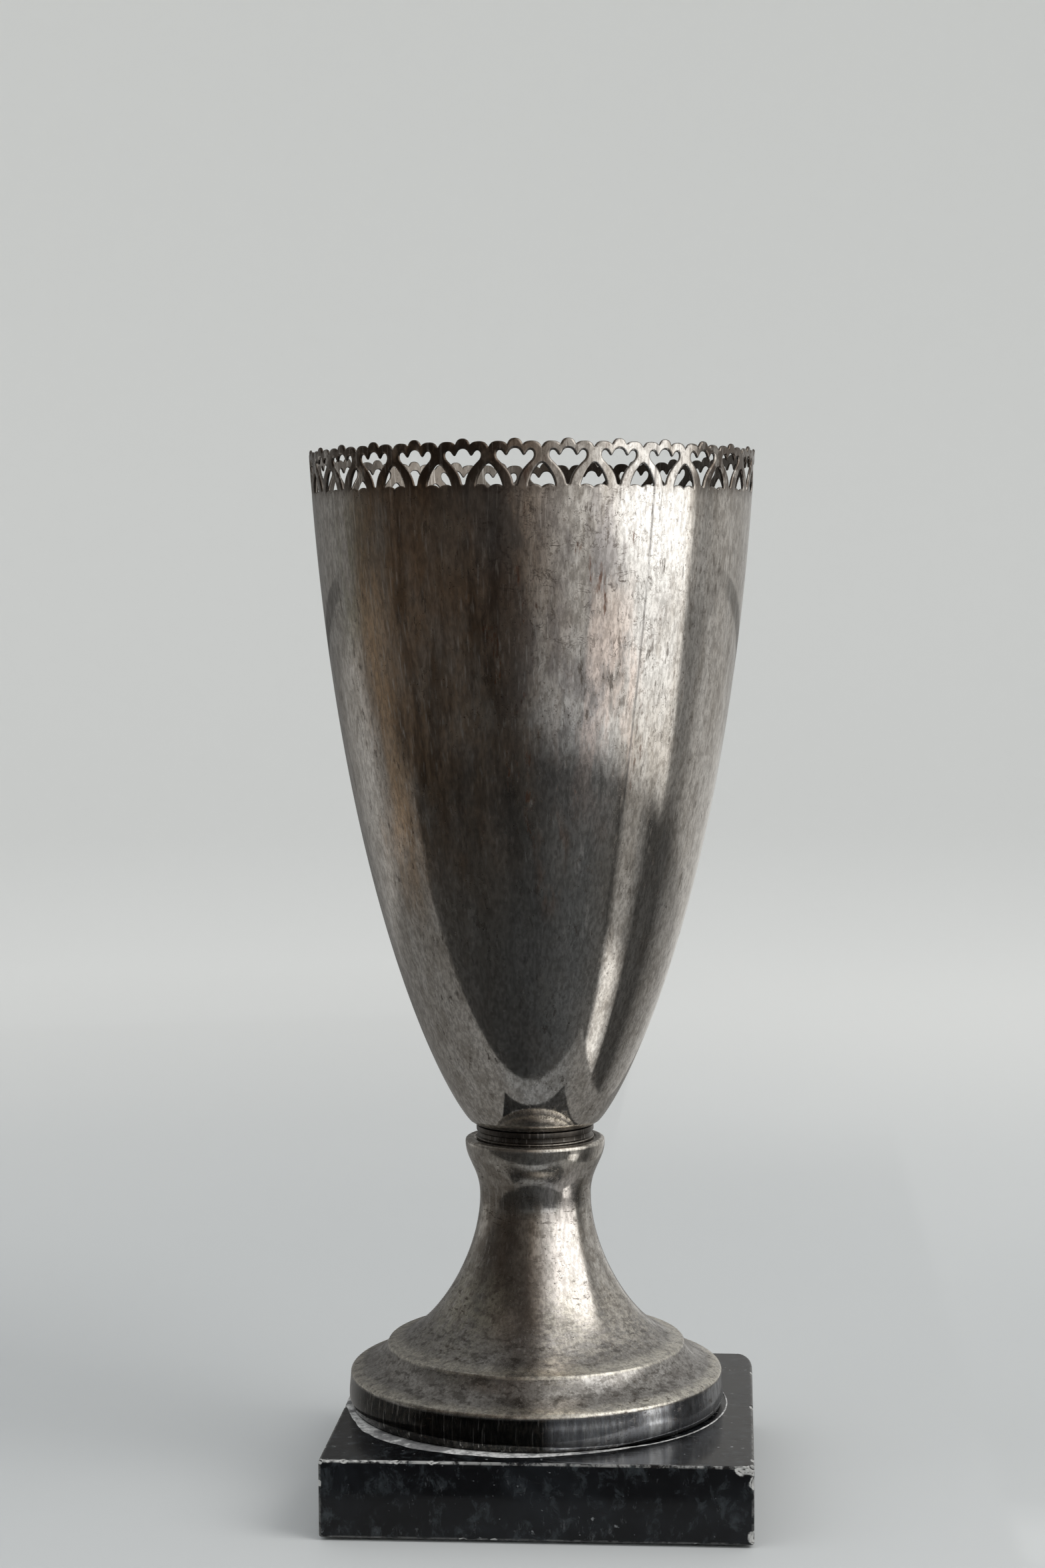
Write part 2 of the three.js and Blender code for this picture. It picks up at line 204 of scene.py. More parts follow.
class Shader:
    """A material's node tree, with short ways to add to it."""

    def __init__(self, name):
        self.material = bpy.data.materials.new(name)
        self.material.use_nodes = True
        self.nodes = self.material.node_tree.nodes
        self.links = self.material.node_tree.links
        self.bsdf = self.nodes["Principled BSDF"]
        self.place = self.add("ShaderNodeTexCoord").outputs["Object"]

    def add(self, kind, **settings):
        node = self.nodes.new(kind)
        for key, value in settings.items():
            setattr(node, key, value)
        return node

    def put(self, socket, value):
        if isinstance(value, bpy.types.NodeSocket):
            self.links.new(value, socket)
        else:
            socket.default_value = value

    def fill(self, node, **values):
        """Sets inputs by name, with underscores for the spaces in it."""
        for name, value in values.items():
            self.put(node.inputs[name.replace("_", " ")], value)

    def math(self, operation, a, b=0.0, clamp=False):
        node = self.add("ShaderNodeMath", operation=operation, use_clamp=clamp)
        self.put(node.inputs[0], a)
        self.put(node.inputs[1], b)
        return node.outputs[0]

    def chained(self, operation, values):
        out = values[0]
        for value in values[1:]:
            out = self.math(operation, out, value)
        return out

    def plus(self, *values):
        return self.chained("ADD", values)

    def product(self, *values):
        return self.chained("MULTIPLY", values)

    def most(self, *values):
        return self.chained("MAXIMUM", values)

    def minus(self, a, b):
        return self.math("SUBTRACT", a, b)

    def size(self, value):
        return self.math("ABSOLUTE", value)

    def scaled(self, x, y, z):
        node = self.add("ShaderNodeVectorMath", operation="MULTIPLY")
        self.put(node.inputs[0], self.place)
        node.inputs[1].default_value = (x, y, z)
        return node.outputs[0]

    def noise(self, squash, scale, detail=4.0, roughness=0.55, distortion=0.0):
        """Noise, drawn out along Z for a squash under 1. A triple gives X, Y and Z."""
        node = self.add("ShaderNodeTexNoise")
        squash = squash if isinstance(squash, tuple) else (1, 1, squash)
        vector = self.place if squash == (1, 1, 1) else self.scaled(*squash)
        self.fill(node, Vector=vector, Scale=scale, Detail=detail, Roughness=roughness, Distortion=distortion)
        return node.outputs["Fac"]

    def step(self, value, low, high, out_low=0.0, out_high=1.0):
        """A smooth step from out_low at low to out_high at high."""
        node = self.add("ShaderNodeMapRange", interpolation_type="SMOOTHSTEP")
        self.fill(node, Value=value, From_Min=low, From_Max=high, To_Min=out_low, To_Max=out_high)
        return node.outputs["Result"]

    def mix(self, share, a, b):
        node = self.add("ShaderNodeMix", data_type="RGBA")
        self.put(node.inputs["Factor"], share)
        for socket, value in ((node.inputs[6], a), (node.inputs[7], b)):
            self.put(socket, value if isinstance(value, bpy.types.NodeSocket) else (*value, 1.0))
        return node.outputs[2]

    def tint(self, color, other, *shares):
        """Another colour mixed in, by the product of some shares."""
        return self.mix(self.product(*shares), color, other)

    def bump(self, height, strength, distance, below=None):
        node = self.add("ShaderNodeBump")
        self.fill(node, Strength=strength, Distance=distance, Height=height)
        if below is not None:
            self.fill(node, Normal=below)
        return node.outputs["Normal"]

    def finish(self, color, roughness, metallic=0.0, normal=None):
        self.fill(self.bsdf, Base_Color=color, Roughness=roughness, Metallic=metallic)
        if normal is not None:
            self.fill(self.bsdf, Normal=normal)
        return self.material

    def split_place(self):
        node = self.add("ShaderNodeSeparateXYZ")
        self.put(node.inputs[0], self.place)
        return node.outputs

    def from_axis(self):
        """Distance from the cup's axis, in metres, then x, y and z."""
        x, y, z = self.split_place()
        return self.math("SQRT", self.plus(self.product(x, x), self.product(y, y))), x, y, z

    def heading(self, wobble=0.0):
        """Degrees round the axis, 0 towards the viewer's side and positive to the right, and height in mm."""
        x, y, z = self.split_place()
        angle = self.math("ARCTAN2", x, self.product(y, -1.0))
        degrees = self.plus(self.product(angle, 180 / math.pi), -VIEW_TURN)
        height = self.product(z, 1 / MM)
        if wobble:
            shift = self.plus(self.noise(0.35, 45, 3), -0.5)
            degrees = self.plus(degrees, self.product(shift, wobble))
            rise = self.plus(self.noise(1, 38, 3), -0.5)
            height = self.plus(height, self.product(rise, wobble))
        return degrees, height

    def zone(self, heading, left, right, low, high, soft=8.0, soft_z=14.0):
        """A soft-edged patch between two headings and two heights."""
        degrees, height = heading
        return self.product(
            self.step(degrees, left - soft, left + soft),
            self.step(degrees, right - soft, right + soft, 1.0, 0.0),
            self.step(height, low - soft_z, low + soft_z),
            self.step(height, high - soft_z, high + soft_z, 1.0, 0.0),
        )


# ------------------------------------------------------------------ camera

VIEW_TURN = 4.06  # degrees that the viewer stands to the right of the block's front
VIEW_DISTANCE = 761.2
VIEW_HEIGHT = 233.8
VIEW_DOWN = 3.41  # degrees, as are the next two
VIEW_PAN = 0.22
VIEW_ROLL = -0.30
LENS = 65.3  # for a 36 mm long side


def make_camera():
    pan = Matrix.Rotation(math.radians(VIEW_PAN), 3, "Z")
    tilt = Matrix.Rotation(math.radians(-VIEW_DOWN), 3, pan @ Vector((1, 0, 0)))
    roll = Matrix.Rotation(math.radians(-VIEW_ROLL), 3, tilt @ pan @ Vector((0, 1, 0)))
    swing = Matrix.Rotation(math.radians(VIEW_TURN), 3, "Z")
    right, ahead, up = (swing @ roll @ tilt @ pan).col
    data = bpy.data.cameras.new("view")
    data.lens = LENS
    data.sensor_width = 36
    camera = bpy.data.objects.new("view", data)
    bpy.context.scene.collection.objects.link(camera)
    place = swing @ Vector((0, -VIEW_DISTANCE, VIEW_HEIGHT)) * MM
    view = Matrix((right, up, -ahead)).transposed().to_4x4()
    view.translation = place
    camera.matrix_world = view
    bpy.context.scene.camera = camera


make_camera()


# ------------------------------------------------------------------ bowl

# The outside of the wall is one curve from the bottom's edge up to the mouth.
WALL_FOOT = (16.1, BOWL_BOTTOM)
wall = bend(WALL_FOOT, (20, BOWL_BOTTOM), (52, 150), (MOUTH, BOWL_TOP), 400)
BAND_DEPTH = 13.5  # how far below the tips the pierced band's cell reaches
BAND_BOTTOM = BOWL_TOP - BAND_DEPTH


def wall_radius(height):
    return np.interp(height, wall[:, 1], wall[:, 0])


def wall_slant(height):
    """Thickness measured level, over thickness across the sheet."""
    step = 0.5
    rise = (wall_radius(height + step) - wall_radius(height - step)) / (2 * step)
    return np.sqrt(1 + rise**2)


def on_wall(along, height, depth):
    """Bends flat points round the rim. Depth runs in from the outside, level."""
    radius = wall_radius(height) - depth * wall_slant(np.minimum(height, BOWL_TOP - 1))
    angle = FRONT + along / MOUTH
    return np.stack([radius * np.cos(angle), radius * np.sin(angle), height], -1)


# The band is drawn flat: x along the rim, y down from the tip of the middle scallop.
VALLEY = (PITCH / 2, -2.15)
NOTCH = (1.95, -1.5)
SIDE_TOP = (4.3, -0.72)
ARCH_TIP = -6.25
SILL_CUSP = -11.95


def mirrored(right):
    """The left half of an outline, running back to the middle from the right half's end."""
    return right[::-1] * (-1, 1)


def scallop(start, top, end):
    """A round-topped scallop between two notches."""
    (x0, y0), (x1, y1), (x2, y2) = start, top, end
    up = bend(start, (x0 + (x1 - x0) * 0.22, y0 + (y1 - y0) * 0.75), (x1 - (x1 - x0) * 0.5, y1), top, 12)
    down = bend(top, (x1 + (x2 - x1) * 0.5, y1), (x2 - (x2 - x1) * 0.22, y2 + (y1 - y2) * 0.75), end, 12)
    return evenly(up, 0.36), evenly(down, 0.36)


def scallop_edge():
    """The band's top edge, from the left valley to the right one."""
    middle = scallop((-NOTCH[0], NOTCH[1]), (0, 0), NOTCH)
    side = scallop(NOTCH, SIDE_TOP, VALLEY)
    right = chain(middle[1], *side)
    return chain(mirrored(right), right)


def tulip_loop():
    """The three-lobed opening, anticlockwise from its foot."""
    right = path(
        (0, -11.35),
        ((0.25, -11.35), (0.4, -11.2), (0.47, -10.8), 8, 0.3),
        ((1.0, -8.4), (2.2, -7.2), (4.1, -5.4), 30, 0.4),
        ((5.1, -4.4), (4.7, -3), (3.8, -3), 20, 0.34),
        ((2.95, -3), (2.75, -4.3), (2.2, -4.3), 16, 0.27),
        ((1.6, -4.3), (1.6, -2.55), (0, -2.55), 20, 0.3),
    )
    return chain(right, mirrored(right))[:-1]


def arch_loop():
    """The pointed arch on its two-bump sill, anticlockwise from the sill's cusp."""
    right = path(
        (0, SILL_CUSP),
        ((0.8, -11.2), (2.4, -10.9), (3.4, -11.65), 20, 0.36),
        ((3.0, -9.8), (2.1, -8.0), (0.75, -6.65), 24, 0.4),
        ((0.45, -6.38), (0.2, ARCH_TIP), (0, ARCH_TIP), 8, 0.26),
    )
    return chain(right, mirrored(right))[:-1], len(right)


def grown(before, points, after, distance):
    """A line moved to the right of its direction, into the metal."""
    full = np.vstack([before, points, after])
    along = np.diff(full, axis=0)
    along /= np.linalg.norm(along, axis=1)[:, None]
    normal = np.stack([along[:, 1], -along[:, 0]], -1)
    middle = normal[:-1] + normal[1:]
    length = np.linalg.norm(middle, axis=1)[:, None]
    half_cosine = np.maximum(length / 2, 0.72)
    return points + middle / np.maximum(length, 1e-6) * distance / half_cosine


def inside(points, loop):
    """Which points lie in a closed loop."""
    x, y = points[:, :1], points[:, 1:]
    x0, y0 = loop[:, 0], loop[:, 1]
    x1, y1 = np.roll(x0, -1), np.roll(y0, -1)
    crosses = (y0 > y) != (y1 > y)
    at = (x1 - x0) * (y - y0) / np.where(y1 == y0, 1e-9, y1 - y0) + x0
    return (crosses & (x < at)).sum(1) % 2 == 1


# How the sheet's cut edge is rounded: (distance into the metal, depth), from the outside in.
EDGE = (
    (0.58, 0.0), (0.44, 0.02), (0.3, 0.065), (0.17, 0.14), (0.06, 0.25), (0.0, 0.4), (0.0, 0.55), (0.07, 0.65),
    (0.2, SHEET),
)


def cell_triangles(top, tulip, arch_right, arch_left):
    """Fills one unit of the band, between its offset outlines."""
    half = PITCH / 2
    across = np.linspace(-half, half, COLUMNS_PER_UNIT + 1)
    floor = np.stack([across, np.full(len(across), -BAND_DEPTH)], -1)
    low = np.linspace(-BAND_DEPTH, arch_right[0, 1], 3)[1:-1]
    high = np.linspace(arch_right[-1, 1], top[0, 1], 5)[1:-1]

    def side(x, heights):
        return np.stack([np.full(len(heights), x), heights], -1)

    outline = np.vstack([
        floor,
        side(half, low),
        arch_left + (half, 0),
        side(half, high),
        top[::-1],
        side(-half, high[::-1]),
        arch_right[::-1] - (half, 0),
        side(-half, low[::-1]),
    ])
    grid = []
    spacing = 0.85
    for row, y in enumerate(np.arange(-BAND_DEPTH + 0.7, -0.5, spacing * 0.87)):
        shift = spacing / 2 * (row % 2)
        grid += [(x + shift, y) for x in np.arange(-half + 0.45, half - 0.3, spacing)]
    grid = np.array(grid)
    edges = np.vstack([outline, tulip])
    gap = np.linalg.norm(grid[:, None] - edges[None], axis=2).min(1)
    grid = grid[(gap > 0.4) & (np.abs(grid[:, 0]) < half - 0.4)]
    grid = grid[inside(grid, outline) & ~inside(grid, tulip)]
    count, hole = len(outline), len(tulip)
    links = [(i, (i + 1) % count) for i in range(count)]
    links += [(count + i, count + (i + 1) % hole) for i in range(hole)]
    points = np.vstack([outline, tulip, grid])
    found = delaunay_2d_cdt([Vector(p) for p in points.tolist()], links, [], 0, 1e-6)
    flat = np.array([tuple(v) for v in found[0]])
    faces = np.array([tuple(f) for f in found[2]])
    centres = flat[faces].mean(1)
    faces = faces[inside(centres, outline) & ~inside(centres, tulip)]
    a, b, c = (flat[faces[:, i]] for i in range(3))
    area = (b - a)[:, 0] * (c - a)[:, 1] - (b - a)[:, 1] * (c - a)[:, 0]
    faces[area < 0] = faces[area < 0][:, ::-1]
    return flat, faces


def band_cell():
    """One unit of the band as flat (x, y, depth) points, with its faces."""
    top = scallop_edge()
    tulip = tulip_loop()
    arch, half_count = arch_loop()
    vertices, faces, start = [], [], 0
    rings = []
    for distance, depth in EDGE:
        top_line = grown(top[-2:-1] - (PITCH, 0), top, top[1:2] + (PITCH, 0), distance)
        tulip_line = grown(tulip[-1:], tulip, tulip[:1], distance)
        arch_line = grown(arch[-1:], arch, arch[:1], distance)
        right = arch_line[:half_count]
        left = right * (-1, 1)
        rings.append((top_line, tulip_line, right - (PITCH / 2, 0), left + (PITCH / 2, 0), depth))

    def strip(lines, closed, flip):
        nonlocal start
        count = len(lines[0][0])
        for line, depth in lines:
            vertices.append(np.column_stack([line, np.full(count, depth)]))
        quads = grid_quads(len(lines), count, round_columns=closed) + start
        faces.extend((quads[:, ::-1] if flip else quads).tolist())
        start += count * len(lines)

    for which, closed, flip in ((0, False, True), (1, True, True), (2, False, True), (3, False, False)):
        strip([(ring[which], ring[4]) for ring in rings], closed, flip)
    for level, flip in ((0, False), (-1, True)):
        ring = rings[level]
        flat, triangles = cell_triangles(ring[0], ring[1], ring[2] + (PITCH / 2, 0), ring[3] - (PITCH / 2, 0))
        vertices.append(np.column_stack([flat, np.full(len(flat), ring[4])]))
        for triangle in (triangles + start).tolist():
            faces.append(triangle[::-1] if flip else triangle)
        start += len(flat)
    return np.vstack(vertices), faces


def bowl_part():
    flat, faces = band_cell()
    parts = []
    for unit in range(UNITS):
        shifted = on_wall(flat[:, 0] + unit * PITCH, BOWL_TOP + flat[:, 1], flat[:, 2])
        parts.append((shifted, faces))
    rows = 110
    pick = np.linspace(0, 1, rows) ** 1.15
    below = wall[wall[:, 1] < BAND_BOTTOM]
    run = np.concatenate([[0], np.cumsum(np.linalg.norm(np.diff(below, axis=0), axis=1))])
    outer = np.stack([np.interp(pick * run[-1], run, below[:, i]) for i in range(2)], -1)
    outer[-1] = (wall_radius(BAND_BOTTOM), BAND_BOTTOM)
    inner = inset(outer, SHEET)
    level = np.stack([outer[:, 0] - SHEET * wall_slant(outer[:, 1]), outer[:, 1]], -1)
    near_top = np.clip((outer[:, 1] - (BAND_BOTTOM - 20)) / 20, 0, 1)[:, None]
    inner = inner * (1 - near_top) + level * near_top
    inner = inner[inner[:, 1] > BOWL_BOTTOM + SHEET + 0.8]
    round_foot = corner((0, BOWL_BOTTOM), WALL_FOOT, outer[3], 0.5)
    outside = chain(np.array([(AXIS, BOWL_BOTTOM), (8, BOWL_BOTTOM), round_foot[0]]), round_foot)
    outside = np.vstack([outside, outer[outer[:, 1] > round_foot[-1, 1] + 0.1]])
    floor_height = BOWL_BOTTOM + SHEET
    first = inner[0]
    sweep = bend((first[0] - 3.2, floor_height), (first[0] - 1, floor_height), first - (0.5, 0.55), first, 8)
    within = np.vstack([[(AXIS, floor_height), (7, floor_height)], sweep[:-1], inner])
    parts.append(turn(outside))
    parts.append(turn(within[::-1]))
    return join(*parts)


# ------------------------------------------------------------------ foot and neck

SHOULDER = (39.8, 38.0)
WAIST = (14.95, 77.7)
COLLAR = (18.8, 92.1)
COLLAR_MOUTH = (16.6, foot_high[2])
RIM = (foot_high[0] - 0.4, 29.7)
RIM_BELLY = (foot_high[0], 24.4)
RIM_FOOT = (49.7, foot_low[2])
PLATE_TOP = neck_low[2] - 0.3
PLATE_HOLE = 6.7
NECK_BORE = 9


def off(point, outward, upward):
    return point[0] + outward, point[1] + upward


def foot_part():
    roll = 1.4
    edge = off(RIM, -roll, roll)
    above, under = off(SHOULDER, -0.5, 0.06), off(SHOULDER, 0.25, -0.475)
    wall_line = path(
        COLLAR_MOUTH,
        (off(COLLAR, -0.3, COLLAR_MOUTH[1] - COLLAR[1]), off(COLLAR, 0, 1), COLLAR, 12),
        (off(COLLAR, 0, -4.9), off(WAIST, 0, 7), WAIST, 22),
        (off(WAIST, 0, -17.5), off(SHOULDER, -11, 1.2), above, 44),
        (off(SHOULDER, -0.1, 0), off(SHOULDER, 0.1, -0.1), under, 6),
        (off(SHOULDER, 1.5, -2.9), off(edge, -5, 1.2), edge, 18),
        (off(edge, 0.8, -0.25), off(RIM, 0, 0.75), RIM, 8),
        (off(RIM, 0.05, -2), off(RIM_BELLY, 0, 2.2), RIM_BELLY, 8),
        (off(RIM_BELLY, 0, -1.6), off(RIM_FOOT, 0.55, 0.7), RIM_FOOT, 8),
    )
    hidden = inset(wall_line, -SHEET)
    under_plate = PLATE_TOP - SHEET
    hidden = hidden[hidden[:, 1] < under_plate - 0.2]
    hidden[-1] = (RIM_FOOT[0] - SHEET, RIM_FOOT[1])
    at_plate = (COLLAR_MOUTH[0], PLATE_TOP)
    lip = bend(off(at_plate, -0.25, 0), off(at_plate, -0.2, 0.3), off(COLLAR_MOUTH, -0.15, 0), COLLAR_MOUTH, 5)
    outline = np.vstack([
        [(PLATE_HOLE, PLATE_TOP), (PLATE_HOLE, under_plate), (hidden[0, 0] - 0.3, under_plate)],
        hidden,
        wall_line[::-1],
        lip[::-1][1:],
        [(PLATE_HOLE, PLATE_TOP)],
    ])
    return turn(outline)


def neck_part():
    radius, bottom, top = neck_high[0], neck_low[2], neck_high[2]
    groove, lip = radius - 0.6, radius - 0.1
    outline = np.vstack([
        [(NECK_BORE, bottom)],
        corner((NECK_BORE, bottom), (radius, bottom), (radius, bottom + 1), 0.25),
        corner((radius, bottom), (radius, bottom + 0.7), (groove, bottom + 0.9), 0.2),
        corner((radius, bottom + 0.8), (groove, bottom + 0.95), (groove, bottom + 2), 0.2),
        corner((groove, top - 3), (groove, top - 1.6), (lip, top - 1.4), 0.15),
        corner((groove, top - 1.5), (lip, top - 1.35), (lip, top), 0.12),
        corner((lip, top - 1), (lip, top), (NECK_BORE, top), 0.15),
        [(NECK_BORE, top), (NECK_BORE, bottom)],
    ])
    return turn(outline)


# ------------------------------------------------------------------ marble block

random = np.random.default_rng(11)
BLOCK_HALF = (block_high - block_low) / 2
BLOCK_CENTRE = (block_high + block_low) / 2
ARRIS = 0.7  # rounding of the block's edges
WORN = (5.0, 15.0)  # the back right corner's wear along X and Y


def chip_list():
    """Bites out of the block's edges: (centre in the block's own frame, radius)."""
    x, y, z = BLOCK_HALF
    bites = []
    for at in np.arange(-52, -22, 1.7) + random.uniform(-0.6, 0.6, 18):
        bites.append(((at, -y - 0.55, z + 0.55), random.uniform(0.75, 1.45)))
    for at in random.uniform(-20, 48, 11):
        bites.append(((at, -y - 0.6, z + 0.6), random.uniform(0.85, 1.15)))
    bites += [
        ((x + 0.9, -y - 0.9, z + 0.6), 3.1),
        ((x - 3.2, -y - 1.2, z - 0.6), 2.0),
        ((x + 0.5, -y - 0.5, z - 4.2), 1.7),
        ((-x - 0.5, -y - 0.5, z - 6), 1.3),
        ((-x - 0.6, -y - 0.6, z + 0.3), 1.9),
        ((x + 0.4, -y - 0.6, -z + 2.0), 1.9),
    ]
    out = 0.55
    for side_x, side_y in ((x + out, 0), (-x - out, 0), (0, y + out)):
        for _ in range(9):
            run = random.uniform(-0.92, 0.92)
            up = random.choice([1, 1, -1])
            centre = (side_x or run * x, side_y or run * y, up * (z + out))
            bites.append((centre, random.uniform(0.95, 1.7)))
    for at in random.uniform(-0.9, 0.9, 6):
        bites.append(((at * x, -y - 0.6, -z - 0.6), random.uniform(0.95, 1.4)))
    return bites


CHIPS = chip_list()


def worn_reach(y):
    """How far +X the block reaches at y, with its back right corner worn round."""
    x_wear, y_wear = WORN
    share = np.clip((BLOCK_HALF[1] - y) / y_wear, 0, 1)
    return BLOCK_HALF[0] - x_wear * (1 - np.sqrt(share)) ** 2


def block_part():
    """A fine grid over a box, drawn in to rounded edges and bitten by chips."""
    near = np.array([0, 0.2, 0.45, 0.75, 1.1])
    axes = []
    for half in BLOCK_HALF:
        middle = np.arange(-half + 1.6, half - 1.5, 0.8)
        axes.append(np.concatenate([-half + near, middle, (half - near)[::-1]]))
    vertices, faces, start = [], [], 0
    for axis in range(3):
        u_axis, v_axis = (axis + 1) % 3, (axis + 2) % 3
        for sign in (-1, 1):
            u, v = np.meshgrid(axes[u_axis], axes[v_axis], indexing="ij")
            points = np.zeros((*u.shape, 3))
            points[..., u_axis], points[..., v_axis] = u, v
            points[..., axis] = sign * BLOCK_HALF[axis]
            quads = grid_quads(*u.shape, round_columns=False)[:, [0, 3, 2, 1]] + start
            faces += (quads if sign > 0 else quads[:, ::-1]).tolist()
            vertices.append(points.reshape(-1, 3))
            start += u.size
    points = np.vstack(vertices)
    core = np.clip(points, -(BLOCK_HALF - ARRIS), BLOCK_HALF - ARRIS)
    away = points - core
    length = np.linalg.norm(away, axis=1)[:, None]
    points = core + away / np.maximum(length, 1e-9) * np.minimum(length, ARRIS)
    on_right = points[:, 0] > 0
    points[on_right, 0] *= worn_reach(points[on_right, 1]) / BLOCK_HALF[0]
    for centre, radius in CHIPS:
        away = points - np.array(centre)
        distance = np.linalg.norm(away, axis=1)[:, None]
        ripple = 0.12 * np.sin(points @ np.array((5.1, 3.7, 6.3)))[:, None]
        reach = radius * (1 + ripple)
        bitten = distance < reach
        points = np.where(bitten, np.array(centre) + away / np.maximum(distance, 1e-9) * reach, points)
    return np.clip(points, -BLOCK_HALF, BLOCK_HALF) + BLOCK_CENTRE, faces


def chip_share(points):
    """How chipped the block's surface is at some points, from 0 to 1."""
    share = np.zeros(len(points))
    for centre, radius in CHIPS:
        distance = np.linalg.norm(points - BLOCK_CENTRE - np.array(centre), axis=1)
        share = np.maximum(share, np.clip(1.3 - (distance - radius * 0.9) / (radius * 0.22), 0, 1))
    return share


def arris_share(points):
    """How far a point lies on a rubbed edge of the block: most along the top of the front."""
    inside_by = BLOCK_HALF - np.abs(points - BLOCK_CENTRE)
    nearest, second, _ = np.sort(inside_by, axis=1).T
    on_edge = np.clip((ARRIS - nearest - second) / 0.2, 0, 1)
    x, y, z = (points - BLOCK_CENTRE).T
    front_top = (y < 0) & (z > 0) & (inside_by[:, 0] > 1)
    return on_edge * np.where(front_top, np.where(x < -18, 1.3, 0.85), 0.35)


def bore(piece, radius, low, high):
    """Cuts a round hole along the cup's axis."""
    vertices, faces = weld(*turn(np.array([(AXIS, low), (radius, low), (radius, high), (AXIS, high)]), 96))
    cutter = new_object("bore", vertices * MM, faces)
    cut = piece.modifiers.new("bore", "BOOLEAN")
    cut.operation, cut.solver, cut.object = "DIFFERENCE", "EXACT", cutter
    bpy.context.view_layer.update()
    done = piece.evaluated_get(bpy.context.evaluated_depsgraph_get())
    result = bpy.data.meshes.new_from_object(done)
    piece.modifiers.clear()
    piece.data = result
    bpy.data.objects.remove(cutter)


COUNTERBORE_RADIUS, COUNTERBORE_DEPTH, ROD_HOLE = 12.5, 10.0, 3.5


def make_block(material):
    """The marble block, with its holes cut and its chipped and worn parts marked for the material."""
    piece = make_piece("marble_block", block_part(), material, ["marble_base"])
    ceiling = block_low[2] + COUNTERBORE_DEPTH
    bore(piece, COUNTERBORE_RADIUS, block_low[2] - 2, ceiling)
    bore(piece, ROD_HOLE, ceiling - 2, block_high[2] + 2)
    mesh = piece.data
    mesh.shade_smooth()
    mesh.set_sharp_from_angle(angle=math.radians(50))
    points = np.zeros(len(mesh.vertices) * 3)
    mesh.vertices.foreach_get("co", points)
    points = points.reshape(-1, 3) / MM
    for name, share in (("chip", chip_share(points)), ("arris", arris_share(points))):
        mesh.attributes.new(name, "FLOAT", "POINT").data.foreach_set("value", share.astype(np.float32))


# ------------------------------------------------------------------ old glue, felt and fixings


def glue_part():
    """A thin crust round the foot: a wide smear at the left and front, a hairline elsewhere."""
    count = 420
    heading = np.linspace(-180, 180, count, endpoint=False)
    angle = FRONT + np.radians(heading + VIEW_TURN)

    def bump_at(centre, width):
        return np.exp(-(((heading - centre) / width) ** 2))

    wave = sum(np.sin(np.radians(heading * k) + p) / k**0.5 for k, p in ((7, 1), (13, 2.3), (29, 0.4), (53, 4)))
    smear = 1.0 * bump_at(-95, 22) + 4.3 * bump_at(-44, 27) + 2.6 * bump_at(-10, 20) + 0.8 * bump_at(22, 14)
    smear *= 1 + 0.2 * wave
    wide = np.clip(smear / 1.2, 0, 1)
    inner = 49.4 + 1.9 * (1 - wide)
    outer = np.maximum(50.1 + smear, inner + 0.45 + 0.1 * wave * (1 - wide))
    base = block_high[2] + 0.02
    levels = ((0, 0.0), (0.02, 0.1), (0.25, 0.15), (0.6, 0.1), (0.9, 0.05), (1, 0.0))
    rows = []
    for share, rise in levels:
        radius = inner + (outer - inner) * share
        grain = 1 + 0.35 * np.sin(np.radians(heading * 41 + share * 300)) * np.sin(np.radians(heading * 17))
        rows.append(np.stack([radius * np.cos(angle), radius * np.sin(angle), base + rise * grain], -1))
    return np.vstack(rows), grid_quads(len(levels), count, round_rows=True)[:, [1, 0, 3, 2]].tolist()


FELT_HOLE = 13  # radius
FELT_CUT = 3  # how much is cut off its corners


def felt_part():
    """A thin cut sheet with a slightly uneven edge and a round hole."""
    centre = (felt_low + felt_high)[:2] / 2
    half = (felt_high - felt_low)[:2] / 2
    x_wear, y_wear = WORN
    x, y = half
    outline = np.array([
        (FELT_CUT - x, -y), (x - FELT_CUT, -y), (x, FELT_CUT - y), (x, y - y_wear), (x - x_wear, y),
        (FELT_CUT - x, y), (-x, y - FELT_CUT), (-x, FELT_CUT - y), (FELT_CUT - x, -y),
    ])
    count = 360
    edge = evenly(outline, np.linalg.norm(np.diff(outline, axis=0), axis=1).sum() / count)[:count]
    around = np.arctan2(edge[:, 1] + centre[1], edge[:, 0] + centre[0])
    ripple = 0.22 + 0.2 * np.sin(around * 47) * np.sin(around * 31 + 1)
    edge = edge * (1 - ripple[:, None] / np.linalg.norm(edge, axis=1)[:, None]) + centre
    ring = FELT_HOLE * np.stack([np.cos(around), np.sin(around)], -1)
    low, high = felt_low[2], felt_high[2]
    soft = 0.12
    lines = [
        np.column_stack([ring + (edge - ring) * share, np.full(count, height)])
        for share, height in (
            (0, low + soft), (0.004, low), (0.996, low), (1, low + soft),
            (1, high - soft), (0.996, high), (0.004, high), (0, high - soft),
        )
    ]
    return np.vstack(lines), grid_quads(len(lines), count, round_rows=True)[:, ::-1].tolist()


